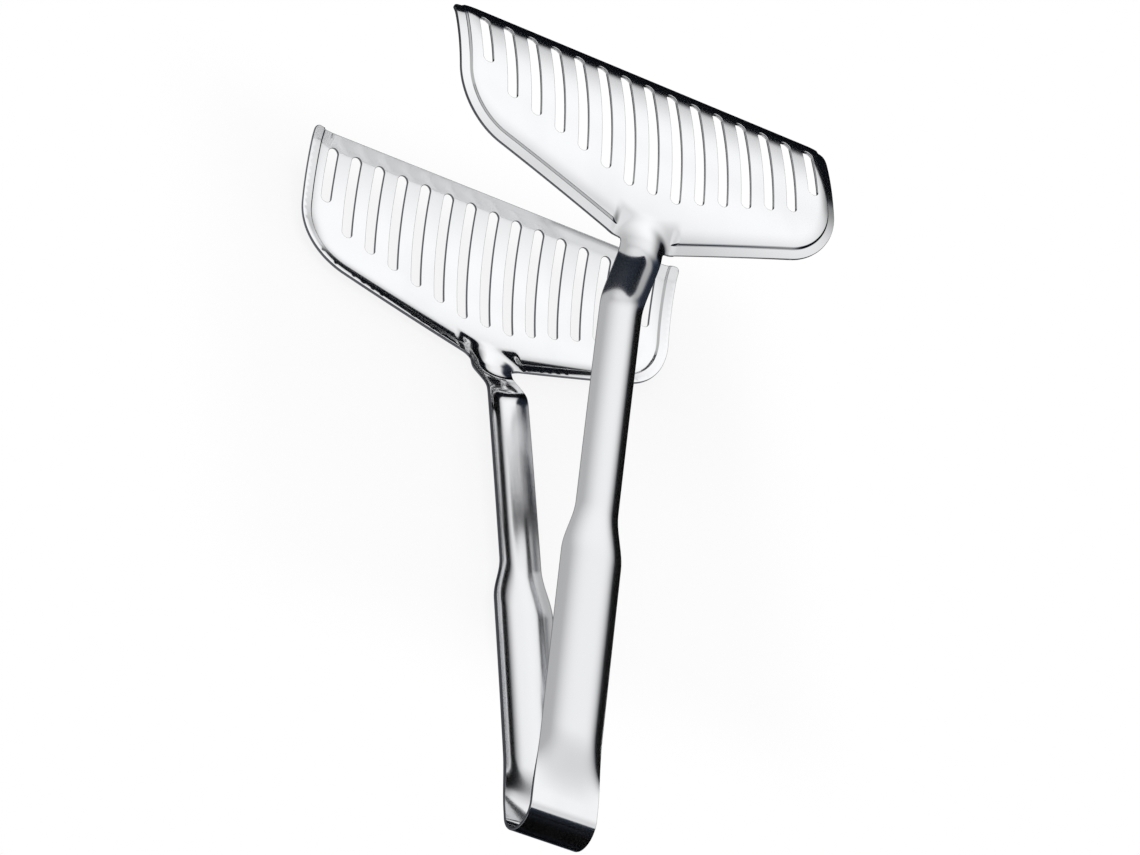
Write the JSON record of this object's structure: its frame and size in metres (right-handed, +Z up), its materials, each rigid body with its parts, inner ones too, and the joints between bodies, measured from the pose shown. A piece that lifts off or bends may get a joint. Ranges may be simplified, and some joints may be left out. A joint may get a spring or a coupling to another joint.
{
  "type": "kitchen tongs",
  "caption": "One-piece sprung kitchen tongs of polished sheet steel: a strip bent back on itself at a spring bow, with troughed arms and two wide, slotted, rim-edged jaws.",
  "frame": {"origin": "centre of the bounding box in plan, on the table that the tongs lie on", "axes": "+X across the jaws, square to the plane of symmetry; +Y from the bow towards the tips; +Z up, from the lower arm to the upper arm"},
  "size_m": [0.1344, 0.2432, 0.0953],
  "materials": {
    "polished_steel": "bright polished stainless sheet, near a mirror, with a very fine grain"
  },
  "bodies": {
    "bow": {"spring_bow": "polished_steel"},
    "upper_limb": {"upper_arm": "polished_steel", "upper_jaw": "polished_steel"},
    "lower_limb": {"lower_arm": "polished_steel", "lower_jaw": "polished_steel"}
  },
  "joints": [
    {"name": "upper_flex", "type": "hinge", "parent": "bow", "child": "upper_limb", "pos_m": [0, -0.11353, 0.0153], "axis": [-1, 0, 0], "range_deg": [0, 8.78], "stiffness_Nm_per_rad": 8},
    {"name": "lower_flex", "type": "hinge", "parent": "bow", "child": "lower_limb", "pos_m": [0, -0.11089, 0.00229], "axis": [1, 0, 0], "range_deg": [0, 8.78], "stiffness_Nm_per_rad": 8}
  ],
  "couplings": [
    {"joint": "upper_flex", "follows": "lower_flex", "ratio": 1}
  ]
}
